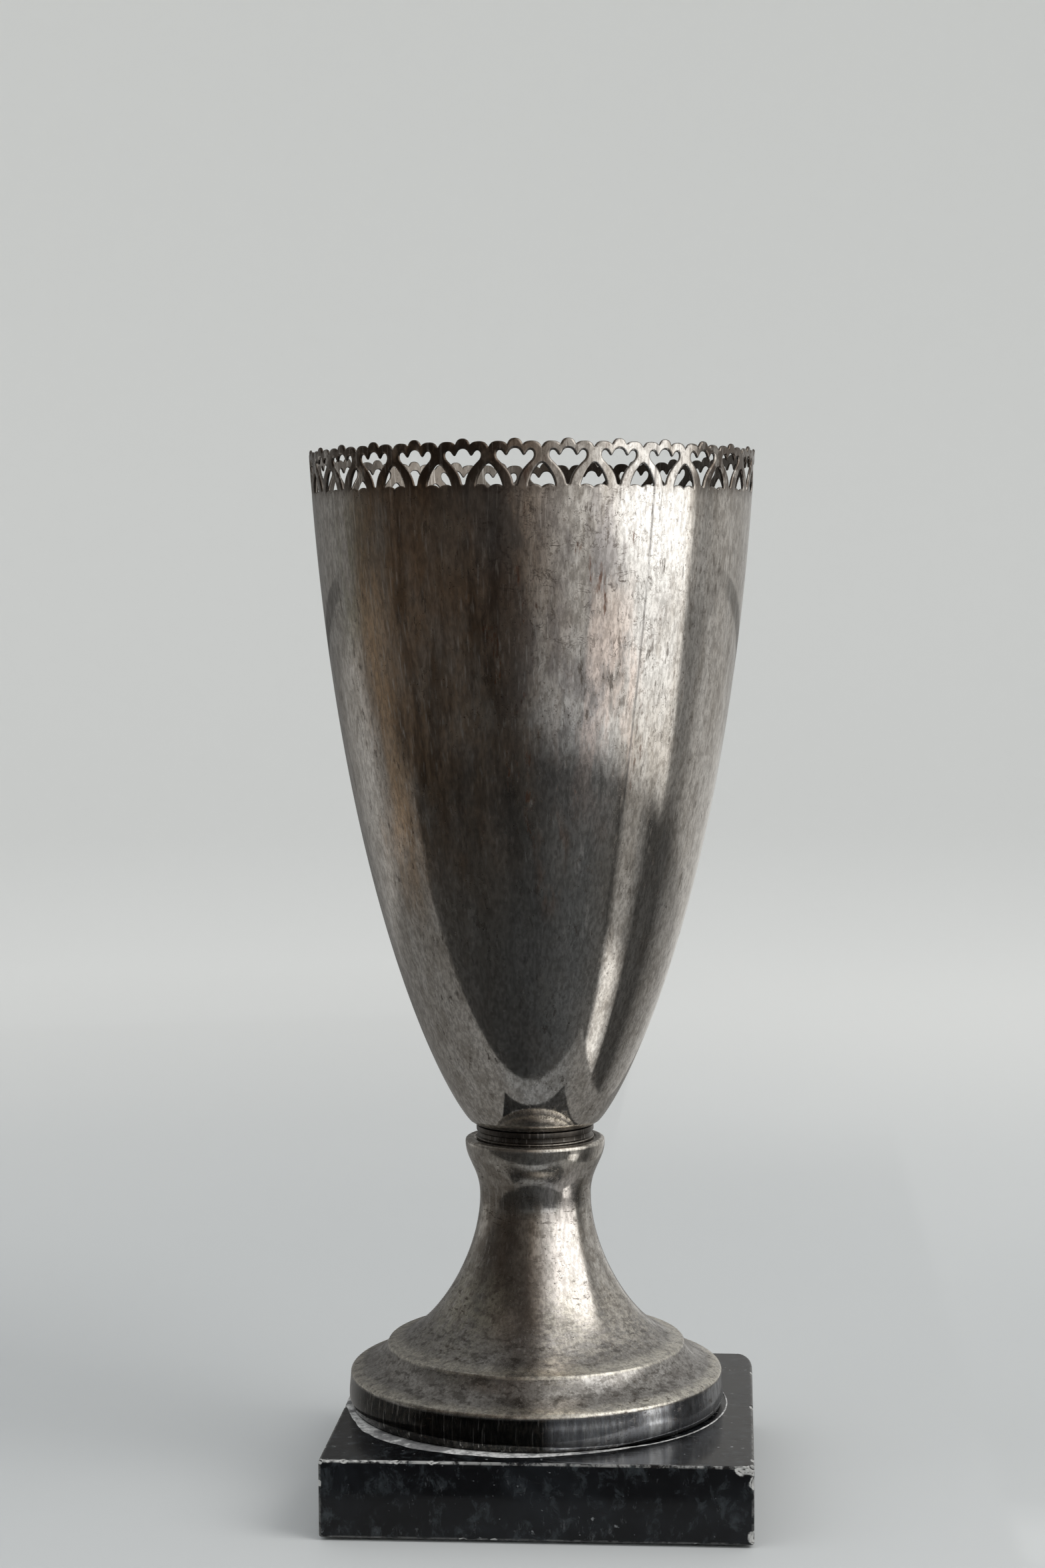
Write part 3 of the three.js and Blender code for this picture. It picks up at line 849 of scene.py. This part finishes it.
def rod_part():
    """A rod with an M6 thread along its length."""
    pitch, columns, depth = 1.0, 28, 0.36
    radius = rod_high[0]
    low, high = rod_low[2], rod_high[2]
    heights = np.arange(low + 0.6, high - 0.6, 0.2)
    angles = FRONT + np.arange(columns) * 2 * math.pi / columns
    phase = (heights[:, None] / pitch - np.arange(columns)[None] / columns) % 1
    crest = np.clip(np.abs(phase - 0.5) * 2.4 - 0.1, 0, 1)
    ends = np.clip(np.minimum(heights - low, high - heights) / 1.4, 0, 1)[:, None]
    reach = radius - depth + depth * crest * ends
    axis, chamfer = np.full((1, columns), AXIS), np.full((1, columns), radius - 0.75)
    reach = np.vstack([axis, chamfer, reach, chamfer, axis])
    heights = np.concatenate([[low, low], heights, [high, high]])
    z = np.repeat(heights[:, None], columns, 1)
    vertices = np.stack([reach * np.cos(angles), reach * np.sin(angles), z], -1).reshape(-1, 3)
    return vertices, grid_quads(len(heights), columns).tolist()


# ------------------------------------------------------------------ materials

PALE = (0.95, 0.92, 0.88)  # where plate is rubbed clean


def silver(name, clean, smudge, polish, dash_squash, paint):
    """Tarnished silver plate: clouds, grain, short dark dashes, hairlines, pits and what paint adds."""
    s = Shader(name)
    cloud = s.noise(0.4, 60, 6, 0.62)
    fine = s.noise(0.5, 380, 5, 0.68)
    grain = s.noise(0.3, 1300, 4, 0.7)
    hair = s.noise(0.03, 1400, 3, 0.6)
    rubbed = s.noise(0.06, 170, 4, 0.6)
    dash = s.step(s.noise(dash_squash, 720, 4, 0.68), 0.575, 0.63)
    dash = s.product(dash, s.step(s.noise(1, 75, 4, 0.6), 0.4, 0.62))
    pits = s.product(s.step(s.noise(1, 2300, 2, 0.5), 0.66, 0.71), s.step(s.noise(1, 150, 3), 0.38, 0.6))
    color = s.mix(s.step(cloud, 0.36, 0.7, 0.0, 0.8), clean, smudge)
    color = s.tint(color, (0.36, 0.325, 0.285), s.step(fine, 0.46, 0.6, 0.0, 0.6))
    color = s.tint(color, PALE, s.step(rubbed, 0.5, 0.64, 0.0, 0.5))
    rough = s.plus(s.step(cloud, 0.35, 0.75, polish, polish + 0.07), s.step(fine, 0.45, 0.75, 0.0, 0.08))
    rough = s.plus(rough, s.step(hair, 0.5, 0.75, 0.0, 0.05))
    color, rough = paint(s, color, rough)
    color = s.tint(color, (0.13, 0.115, 0.1), s.step(grain, 0.4, 0.58, 0.4, 0.0))
    color = s.tint(color, PALE, s.step(hair, 0.56, 0.7, 0.0, 0.35))
    color = s.tint(color, (0.11, 0.09, 0.075), dash, 0.66)
    color = s.tint(color, (0.03, 0.024, 0.02), pits, 0.85)
    marks = s.most(dash, pits)
    rough = s.math("ADD", rough, s.product(marks, 0.22), clamp=True)
    height = s.plus(s.product(hair, 0.3), s.product(fine, 0.5), s.product(grain, 0.3))
    height = s.minus(height, s.product(marks, 0.6))
    dents = s.bump(s.noise(0.5, 24, 2), 0.3, 0.0006)
    film = s.step(s.plus(cloud, fine), 0.8, 1.3, 0.985, 0.94)
    return s.finish(color, rough, film, s.bump(height, 0.15, 0.00005, dents))


def paint_inner_shade(s, color):
    """Painted shade: darkens what faces the axis."""
    inward = s.add("ShaderNodeVectorMath", operation="DOT_PRODUCT")
    s.put(inward.inputs[0], s.add("ShaderNodeNewGeometry").outputs["Normal"])
    s.put(inward.inputs[1], s.scaled(1, 1, 0))
    return s.tint(color, (0.2, 0.18, 0.16), s.step(inward.outputs["Value"], 0.0, -0.01, 0.0, 0.85))


def duller_behind(s, degrees, amount):
    """Roughness to add on the side away from the viewer, which nobody polished."""
    return s.step(s.size(degrees), 92, 116, 0.0, amount)


def paint_bowl(s, color, rough):
    """Where the bowl is brown, where it is grey and where it is etched, with painted highlights as pale patches
    on its right front, a painted dark reflection in the band at the sides, and painted shade on its inside.
    """
    around = s.heading(22)
    degrees, height = s.heading()
    streak = s.noise(0.05, 150, 4, 0.6)
    patch = s.noise(0.3, 120, 6, 0.68)
    brown = s.product(s.zone(around, -52, 1, 168, 292, 9, 22), s.step(patch, 0.32, 0.6, 0.45, 1.0))
    color = s.tint(color, (0.47, 0.325, 0.21), brown, 0.92)
    color = s.tint(color, (0.17, 0.115, 0.075), brown, s.step(streak, 0.5, 0.62), 0.8)
    light_run = s.step(s.noise(0.07, 190, 4, 0.65), 0.54, 0.62)
    color = s.tint(color, (0.72, 0.54, 0.4), s.product(brown, light_run), 0.55)
    glint = s.noise(0.09, 210, 4, 0.6)
    speckle = s.noise(0.8, 620, 5, 0.75)
    painted_pink_highlight = s.product(s.step(streak, 0.44, 0.58), s.step(patch, 0.62, 0.46))
    # The area (two headings, two heights, how soft each pair is), its texture, its colour and its strength.
    areas = (
        ((-49, -40, 165, 255, 3.5, 16), s.step(streak, 0.36, 0.56), (0.8, 0.56, 0.36), 0.6),
        ((-14, 24, 116, 192, 9, 16), s.step(patch, 0.36, 0.56, 0.35, 1.0), (0.5, 0.51, 0.5), 0.6),
        ((-6, 22, 196, 268, 9, 14), s.step(patch, 0.4, 0.54, 0.25, 1.0), (0.27, 0.245, 0.24), 0.75),
        ((14, 33, 224, 266, 6, 12), s.step(patch, 0.46, 0.58), (0.44, 0.42, 0.43), 0.55),
        # Near white at headings 23 to 41, high on the bowl: a painted highlight.
        ((23, 41, 214, 284, 3, 14), s.step(patch, 0.66, 0.48), (0.97, 0.955, 0.93), 0.85),
        # Pale glints at headings 8 to 25: painted highlights.
        ((8, 25, 150, 212, 4, 12), s.step(glint, 0.56, 0.63), (0.97, 0.93, 0.88), 0.75),
        ((-22, 2, 246, 272, 7, 8), s.step(patch, 0.38, 0.54), (0.3, 0.32, 0.33), 0.55),
        ((-62, -48, 228, 262, 6, 12), s.step(patch, 0.4, 0.56), (0.46, 0.45, 0.33), 0.5),
        ((-10, 60, 196, 272, 8, 12), s.step(speckle, 0.56, 0.64), (0.2, 0.165, 0.14), 0.6),
        # Pale pink at headings 10 to 29: painted highlights.
        ((10, 29, 186, 236, 5, 14), painted_pink_highlight, (0.95, 0.8, 0.72), 0.8),
        ((1, 7, 160, 188, 2, 7), s.step(streak, 0.4, 0.5), (0.72, 0.46, 0.33), 0.75),
    )
    for limits, texture, tone, strength in areas:
        color = s.tint(color, tone, s.product(s.zone(around, *limits), texture), strength)
    rust = s.product(s.step(s.noise(0.16, 240, 4, 0.7), 0.61, 0.68), s.zone(around, -30, 34, 176, 278, 6, 10))
    color = s.tint(color, (0.15, 0.06, 0.03), rust, 0.85)
    line = s.size(s.plus(s.noise(1.5, 130, 4, 0.6, 1.6), -0.5))
    etched = s.product(s.step(line, 0.02, 0.004), s.step(s.noise(1, 210, 3), 0.46, 0.56))
    color = s.tint(color, (0.12, 0.1, 0.09), etched, s.zone(around, -12, 33, 222, 270, 6, 9), 0.8)
    lean = s.product(s.plus(height, -277.0), 0.042)
    crease = s.step(s.size(s.plus(s.minus(degrees, lean), -32.0)), 0.5, 0.15)
    color = s.tint(color, (0.16, 0.15, 0.15), crease, s.step(height, 180, 190), s.step(streak, 0.3, 0.5), 0.65)
    # Dark in the band's struts: some dirt all round, and more on the left and beyond heading 45 on the right as
    # a painted dark reflection.
    dirt = s.product(s.step(height, 262, 268), s.step(s.noise(0.6, 300, 5, 0.65), 0.34, 0.5))
    dark_reflection_sides = s.most(s.step(degrees, 0, -12), s.step(degrees, 40, 48))
    color = s.tint(color, (0.12, 0.09, 0.07), dirt, s.plus(s.product(dark_reflection_sides, 0.62), 0.28))
    smear = s.product(s.zone(around, 50, 60, 226, 246, 3, 8), s.step(patch, 0.36, 0.5))
    color = s.tint(color, (0.36, 0.34, 0.32), smear, 0.6)
    rough = s.plus(rough, s.plus(s.product(brown, 0.05), s.product(rust, 0.3)))
    turned = s.size(degrees)
    polished = s.product(s.step(turned, 52, 62), s.step(turned, 112, 92))
    rough = s.minus(rough, s.product(rough, polished, 0.45))
    return paint_inner_shade(s, color), s.plus(rough, duller_behind(s, degrees, 0.15))


def paint_foot(s, color, rough):
    """Blotches and pits all over the foot, bright rubbed edges and a polished upright ring, with painted
    highlights on the flare's right and on the collar, painted shade on the flare's front, on the inside and
    along the ring's bottom edge, and a painted dark reflection on the ring's left half.
    """
    around = s.heading(16)
    degrees, height = s.heading()
    blotch = s.step(s.noise(1.5, 200, 6, 0.7), 0.46, 0.58)
    heavy = s.minus(0.56, s.product(s.zone(around, 8, 48, 46, 86, 8, 8), 0.4))
    color = s.tint(color, (0.24, 0.205, 0.17), blotch, heavy)
    color = s.tint(color, (0.23, 0.185, 0.15), s.zone(around, -58, -20, 50, 84, 12, 9), 0.66)
    # A grey-brown patch on the front of the flare, 40 to 60 mm up: painted shade.
    color = s.tint(color, (0.3, 0.27, 0.25), s.zone(around, -14, 11, 40, 60, 7, 6), 0.72)
    frost = s.product(s.zone(around, -75, -22, 36, 58, 12, 6), s.step(s.noise(1, 330, 5, 0.7), 0.4, 0.56))
    color = s.tint(color, (0.72, 0.69, 0.58), frost, 0.8)
    low = s.step(height, 50, 42)
    mark = s.step(s.noise(2.5, 330, 5, 0.7), 0.5, 0.6)
    color = s.tint(color, (0.44, 0.44, 0.45), low, 0.5)
    color = s.tint(color, (0.15, 0.14, 0.13), low, mark, 0.7)
    # Pale pink patches on the right of the upper flare: painted highlights.
    painted_pink_highlight = s.step(s.noise(0.4, 230, 4, 0.65), 0.34, 0.52)
    color = s.tint(color, (0.98, 0.92, 0.88), s.product(s.zone(around, 6, 43, 44, 86, 6, 8), painted_pink_highlight), 0.85)
    # Pale scuffs on the right of the flare above the shoulder: partly wear, partly painted highlight.
    scuffs_and_highlight = s.step(s.noise(3, 420, 5, 0.7), 0.44, 0.56)
    color = s.tint(color, (0.92, 0.87, 0.78), s.product(s.zone(around, 2, 84, 39, 56, 10, 5), scuffs_and_highlight), 0.7)
    # A pale band round the collar, strongest at the right and front, with less roughness: a painted highlight
    # on polished metal.
    collar_polish_and_highlight = s.product(s.step(height, 86, 89), s.step(s.noise(2, 260, 4, 0.65), 0.38, 0.56, 0.3, 1.0))
    collar_polish_and_highlight = s.product(collar_polish_and_highlight, s.step(degrees, -25, 5, 0.3, 1.0))
    color = s.tint(color, (0.93, 0.89, 0.82), collar_polish_and_highlight, 0.7)
    rough = s.minus(rough, s.product(collar_polish_and_highlight, rough, 0.4))
    level = s.plus(height, s.product(s.plus(s.noise(1, 160, 3), -0.5), 1.2))
    shoulder = s.product(s.step(level, 37.0, 37.6), s.step(level, 39.6, 38.2))
    rim = s.product(s.step(level, 29.7, 30.3), s.step(level, 32.0, 31.0))
    rubbed = s.product(s.most(shoulder, rim), s.step(s.noise(1, 420, 4, 0.6), 0.36, 0.56, 0.35, 1.0))
    color = s.tint(color, (0.97, 0.93, 0.83), rubbed, 0.95)
    rough = s.plus(rough, s.plus(s.product(blotch, 0.1), s.product(low, 0.1)))
    rough = s.plus(rough, s.product(frost, 0.15))
    ring = s.step(height, 29.9, 29.2)
    film = s.step(s.noise(0.06, 330, 4, 0.65), 0.4, 0.62)
    # The upright ring: near black on its left half and pale bare metal on its right; the near black is a
    # painted dark reflection.
    black = s.mix(s.step(degrees, -62, -76), (0.018, 0.02, 0.02), (0.2, 0.2, 0.2))
    bare = s.mix(film, (0.34, 0.355, 0.39), (0.62, 0.64, 0.67))
    color = s.tint(color, s.mix(s.step(degrees, 6, 1), bare, black), ring, 0.97)
    rough = s.minus(rough, s.product(ring, s.minus(rough, 0.14)))
    # Near black along the ring's bottom edge, against the marble: a painted contact shadow.
    color = s.tint(color, (0.03, 0.028, 0.026), s.step(height, 22.2, 21.6), 0.8)
    return paint_inner_shade(s, color), s.plus(rough, duller_behind(s, degrees, 0.1))


def paint_neck(s, color, rough):
    """Near black all over as painted shade, but for two thin bright lines, at the bead and near the lip, which
    are painted highlights.
    """
    _, height = s.heading()
    uneven = s.step(s.noise(1, 300, 3), 0.4, 0.6, 0.35, 1.0)
    # Painted shade darkens the whole band; two thin lines, at the bead and near the lip, are painted
    # highlights.
    lines = [s.step(s.size(s.plus(height, -at)), 0.16, 0.06) for at in (93.6, 95.25)]
    color = s.tint(color, (0.04, 0.034, 0.03), 0.85)
    return s.tint(color, (0.62, 0.58, 0.52), s.most(*lines), uneven, 0.6), s.plus(rough, 0.1)


def marble_material():
    s = Shader("black_marble")
    cloud = s.noise(1, 60, 7, 0.62, 0.6)
    mottle = s.noise(0.7, 270, 6, 0.7, 0.4)
    x, y, z = s.split_place()
    drift = s.product(s.noise(1, 30, 2), 0.022)
    across = s.plus(y, s.product(x, 0.06), drift, s.product(z, 0.7))
    wave = s.size(s.math("SINE", s.product(across, 110.0)))
    vein = s.product(s.step(wave, 0.02, 0.004), s.step(s.noise(1, 40, 3), 0.5, 0.6))
    color = s.mix(s.step(cloud, 0.42, 0.72, 0.0, 0.85), (0.0045, 0.0048, 0.0055), (0.012, 0.014, 0.017))
    color = s.tint(color, (0.04, 0.047, 0.052), s.step(mottle, 0.5, 0.72, 0.0, 0.75))
    color = s.tint(color, (0.09, 0.095, 0.1), s.step(s.noise(0.4, 420, 5, 0.75), 0.6, 0.68), 0.45)
    color = s.tint(color, (0.26, 0.27, 0.28), s.step(s.noise(1, 520, 3, 0.5), 0.68, 0.74), 0.6)
    color = s.tint(color, (0.3, 0.31, 0.32), vein, 0.55)
    chipped = s.add("ShaderNodeAttribute", attribute_name="chip").outputs["Fac"]
    grain = s.noise(1, 900, 4, 0.7)
    chip = s.product(s.step(chipped, 0.3, 0.7), s.step(grain, 0.32, 0.52, 0.45, 1.0))
    worn = s.add("ShaderNodeAttribute", attribute_name="arris").outputs["Fac"]
    chip = s.most(chip, s.product(worn, s.step(s.noise(1, 260, 4, 0.7), 0.42, 0.58), 0.55))
    color = s.tint(color, (0.46, 0.46, 0.45), chip)
    scratch = s.noise((0.2, 1.8, 1), 800, 2, 0.5)
    rough = s.plus(s.step(cloud, 0.3, 0.8, 0.09, 0.2), s.step(scratch, 0.55, 0.75, 0.0, 0.15))
    rough = s.math("ADD", rough, s.product(chip, 0.5), clamp=True)
    height = s.plus(s.product(scratch, 0.2), s.product(chip, grain))
    return s.finish(color, rough, 0.0, s.bump(height, 0.25, 0.0002))


def plain_metal(name, color, dirt, roughness):
    """Dull turned or plated metal with a little dirt, for the fixings."""
    s = Shader(name)
    cloud = s.noise(1, 260, 5, 0.65)
    rings = s.noise(12, 500, 3)
    shade = s.mix(s.step(cloud, 0.4, 0.7, 0.0, 0.8), color, dirt)
    rough = s.step(cloud, 0.3, 0.7, roughness - 0.08, roughness + 0.12)
    return s.finish(shade, rough, 1.0, s.bump(rings, 0.25, 0.00008))


def glue_material():
    s = Shader("dried_glue")
    grain = s.noise(1, 700, 6, 0.7)
    color = s.mix(s.step(grain, 0.35, 0.6), (0.26, 0.26, 0.26), (0.68, 0.68, 0.67))
    color = s.tint(color, (0.12, 0.12, 0.125), s.step(s.noise(1, 120, 4, 0.6), 0.48, 0.6, 0.0, 0.8))
    return s.finish(color, s.step(grain, 0.3, 0.7, 0.6, 0.9), 0.0, s.bump(grain, 0.6, 0.0003))


def felt_material():
    s = Shader("felt")
    fibre = s.noise(1, 1800, 5, 0.75, 2.0)
    color = s.mix(s.step(fibre, 0.35, 0.7), (0.006, 0.007, 0.008), (0.035, 0.037, 0.04))
    s.fill(s.bsdf, Sheen_Weight=0.4, Sheen_Roughness=0.5)
    return s.finish(color, s.step(fibre, 0.2, 0.8, 0.85, 1.0), 0.0, s.bump(fibre, 0.8, 0.0004))


UPRIGHT = (1, 1, 0.2)  # short marks that stand up
LYING = (0.6, 0.6, 1.6)  # short marks that lie along the turning
bowl_silver = silver("tarnished_plate_bowl", (0.8, 0.765, 0.72), (0.54, 0.495, 0.44), 0.03, UPRIGHT, paint_bowl)
foot_silver = silver("tarnished_plate_foot", (0.76, 0.73, 0.68), (0.5, 0.46, 0.405), 0.07, LYING, paint_foot)
neck_silver = silver("neck_plate_painted_dark", (0.5, 0.47, 0.43), (0.2, 0.18, 0.16), 0.15, LYING, paint_neck)

make_piece("bowl_sheet", bowl_part(), bowl_silver, ["bowl"], 60)
make_piece("foot_sheet", foot_part(), foot_silver, ["foot"], 60)
make_piece("neck_band", neck_part(), neck_silver, ["neck_ring"], 60)
make_block(marble_material())
make_piece("glue_crust", glue_part(), glue_material())
make_piece("felt_sheet", felt_part(), felt_material(), ["felt_pad"], 60)

zinc = plain_metal("zinc_plated_steel", (0.60, 0.61, 0.62), (0.32, 0.31, 0.29), 0.4)
spring = plain_metal("oiled_spring_steel", (0.30, 0.30, 0.32), (0.14, 0.12, 0.1), 0.45)
brass = plain_metal("dull_brass", (0.66, 0.52, 0.28), (0.36, 0.27, 0.14), 0.45)
make_piece("threaded_rod", rod_part(), zinc, ["tie_rod"], 40)

KEPT_NODES = {
    "base_washer": (zinc, "zinc_steel"),
    "base_lock_washer": (spring, "spring_steel"),
    "base_nut": (zinc, "zinc_steel"),
    "stem_washer": (zinc, "zinc_steel"),
    "stem_nut": (zinc, "zinc_steel"),
    "bowl_boss": (brass, "raw_brass"),
}
for node_name, (node_material, slot_name) in KEPT_NODES.items():
    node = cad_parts[node_name]
    node.data.materials.clear()
    node.data.materials.append(node_material)


# ------------------------------------------------------------------ floor and light


def stage_object(name, vertices, faces, material):
    thing = new_object(name, vertices, faces, material)
    return thing


def make_floor():
    """A pale floor that sweeps up into a pale wall far behind, all round, darker near the cup with painted
    shade.
    """
    s = Shader("pale_floor")
    away = s.from_axis()[0]
    # Darker near the cup and paler from 0.2 to 1.1 m out: the darker middle is painted shade.
    tone = s.mix(s.noise(1, 3, 3), (0.56, 0.58, 0.585), (0.6, 0.615, 0.62))
    tone = s.tint(tone, (0.83, 0.835, 0.82), s.step(away, 0.2, 1.1))
    s.fill(s.bsdf, Specular_IOR_Level=0.2)
    material = s.finish(tone, 0.6)
    sweep = bend((2200, 0), (3200, 0), (3600, 400), (3600, 1400), 24)
    flat = np.array([(AXIS, 0.0), (300, 0), (1000, 0), (2200, 0)])
    vertices, faces = weld(*turn(chain(flat, sweep, np.array([(3600, 1400), (3600, 2600)])), 120))
    floor = stage_object("floor", vertices * MM, [face[::-1] for face in faces], material)
    floor.data.shade_smooth()


# Brightness of what stands round the cup, by heading in degrees from the viewer's side, at four steepnesses of
# the way there: down to the floor, level, upwards and overhead.
LOW_CARDS = (
    (-180, 0.1), (-154, 0.13), (-138, 0.3), (-130, 0.34), (-122, 0.44), (-108, 0.32), (-102, 0.38),
    (-90, 0.28), (-81, 0.26), (-78, 0.04), (-42, 0.025), (-10, 0.028), (6, 0.05), (30, 0.09), (56, 0.11),
    (58, 0.5), (61, 1.1), (70, 1.1), (73, 0.7), (78, 0.4), (80, 0.05), (100, 0.05), (104, 0.09),
    (110, 0.16), (122, 0.27), (134, 0.34), (142, 0.4), (150, 0.5), (166, 0.6), (176, 0.45), (180, 0.12),
)
LEVEL_CARDS = (
    (-180, 0.08), (-170, 0.13), (-154, 0.18), (-134, 0.3), (-118, 0.36), (-105, 0.21), (-88, 0.14),
    (-74, 0.1), (-58, 0.07), (-42, 0.075), (-26, 0.05), (-10, 0.07), (0, 0.17), (10, 0.36), (30, 0.6),
    (50, 0.92), (70, 1.08), (88, 1.08), (91, 0.26), (97, 0.18), (104, 0.25), (114, 0.43), (134, 0.47),
    (150, 0.57), (166, 0.65), (176, 0.54), (180, 0.12),
)
UPPER_CARDS = (
    (-180, 0.13), (-154, 0.16), (-134, 0.19), (-114, 0.19), (-94, 0.09), (-73, 0.07), (-48, 0.04),
    (-16, 0.075), (2, 0.3), (14, 0.5), (30, 0.85), (42, 1.5), (88, 1.5), (92, 0.4), (100, 0.3),
    (116, 0.5), (140, 0.41), (160, 0.42), (174, 0.4), (180, 0.14),
)
TOP_CARDS = (
    (-180, 0.18), (-120, 0.19), (-80, 0.14), (-50, 0.1), (-30, 0.08), (-8, 0.12), (8, 0.3), (30, 0.62),
    (50, 0.8), (84, 0.8), (96, 0.5), (120, 0.36), (180, 0.3),
)
BRIGHTEST = 1.5
WARM = (1.0, 0.86, 0.74)
COOL = (0.96, 0.985, 1.0)
NEUTRAL = (1.0, 0.985, 0.95)
EYE = 0.2  # the height, in metres, that steepness is counted from
SHELF_FRONT = -0.092  # where the pale shelf ends, in metres
SHELF_RIGHT = 0.125
DISH = (  # radius and height in metres
    (0.03, 0.0007), (0.07, 0.0008), (0.15, 0.001), (0.4, 0.0014), (0.9, 0.0015), (1.15, 0.08), (1.2, 0.5),
    (1.2, 1.4), (1.0, 2.0), (0.5, 2.3), (0.02, 2.4),
)


def card_curve(s, heading, cards):
    """Brightness by heading, from a list of cards."""
    node = s.add("ShaderNodeFloatCurve")
    curve = node.mapping.curves[0]
    points = [((at + 180) / 360, value / BRIGHTEST) for at, value in cards]
    curve.points[0].location, curve.points[1].location = points[0], points[-1]
    for point in points[1:-1]:
        curve.points.new(*point)
    for point in curve.points:
        point.handle_type = "VECTOR"
    node.mapping.update()
    s.fill(node, Value=s.math("DIVIDE", s.plus(heading, 180.0), 360.0))
    return s.product(node.outputs[0], BRIGHTEST)


def blend(s, share, below, above):
    return s.plus(s.product(above, share), s.product(below, s.minus(1.0, share)))


def dimmed(s, brightness, where, amount):
    return s.product(brightness, s.minus(1.0, s.product(where, amount)))


def make_surroundings():
    """A dish of soft cards and dark flags round the set, seen only in reflections."""
    s = Shader("cards")
    degrees, _ = s.heading()
    away, x, y, z = s.from_axis()
    slope = s.math("DIVIDE", s.plus(z, -EYE), away)
    short_strip = s.product(s.step(slope, -0.86, -0.7), s.step(degrees, 52, 56), s.step(degrees, 82, 78))
    brightness = dimmed(s, card_curve(s, degrees, LOW_CARDS), short_strip, 0.68)
    for cards, start, end in ((LEVEL_CARDS, -0.4, -0.29), (UPPER_CARDS, -0.13, -0.05), (TOP_CARDS, 0.75, 1.3)):
        brightness = blend(s, s.step(slope, start, end), brightness, card_curve(s, degrees, cards))
    shelf = s.product(
        s.step(y, SHELF_FRONT - 0.002, SHELF_FRONT + 0.002),
        s.step(x, SHELF_RIGHT + 0.003, SHELF_RIGHT - 0.003),
        s.step(away, 0.6, 0.4),
    )
    brightness = blend(s, shelf, brightness, s.step(x, -0.3, 0.13, 0.17, 0.24))
    beyond = s.plus(s.size(degrees), -134.0)
    off_flag = s.size(s.plus(slope, 0.03, s.product(beyond, -0.0008)))
    flag = s.product(s.step(off_flag, 0.012, 0.008), s.step(beyond, -16, -2))
    brightness = dimmed(s, brightness, flag, 0.45)
    warm = s.product(s.step(degrees, -95, -60), s.step(degrees, 25, -15), s.step(slope, -0.3, -0.1))
    cool = s.product(s.step(degrees, -60, -10), s.step(degrees, 60, 30), s.step(slope, -0.15, -0.35))
    glow = s.add("ShaderNodeEmission")
    s.fill(glow, Color=s.mix(cool, s.mix(warm, NEUTRAL, WARM), COOL), Strength=brightness)
    s.links.new(glow.outputs[0], s.nodes["Material Output"].inputs["Surface"])
    dish = stage_object("reflection_cards", *turn(np.array(DISH), 180), s.material)
    for ray in ("camera", "diffuse", "shadow", "transmission"):
        setattr(dish, "visible_" + ray, False)


def make_light(name, place, size, power, color):
    """A soft light aimed at the middle of the cup, with no reflection of its own."""
    data = bpy.data.lights.new(name, "AREA")
    data.shape, data.size, data.size_y = "RECTANGLE", *size
    data.energy, data.color = power, color
    light = bpy.data.objects.new(name, data)
    bpy.context.scene.collection.objects.link(light)
    light.location = place
    light.rotation_mode = "QUATERNION"
    light.rotation_quaternion = (Vector((0, 0, 0.12)) - Vector(place)).to_track_quat("-Z", "Y")
    light.visible_camera = False
    light.visible_glossy = False


def make_world():
    world = bpy.data.worlds.new("studio")
    bpy.context.scene.world = world
    world.use_nodes = True
    background = world.node_tree.nodes["Background"]
    background.inputs["Color"].default_value = (0.80, 0.81, 0.82, 1)
    background.inputs["Strength"].default_value = 0.95


make_floor()
make_surroundings()
make_light("key", (1.1, -0.5, 1.1), (0.9, 1.2), 12, (1.0, 0.98, 0.95))
make_light("fill", (-1.2, -0.8, 1.2), (1.2, 1.2), 3, (0.95, 0.98, 1.0))
make_world()
bpy.context.scene.view_settings.view_transform = "Standard"
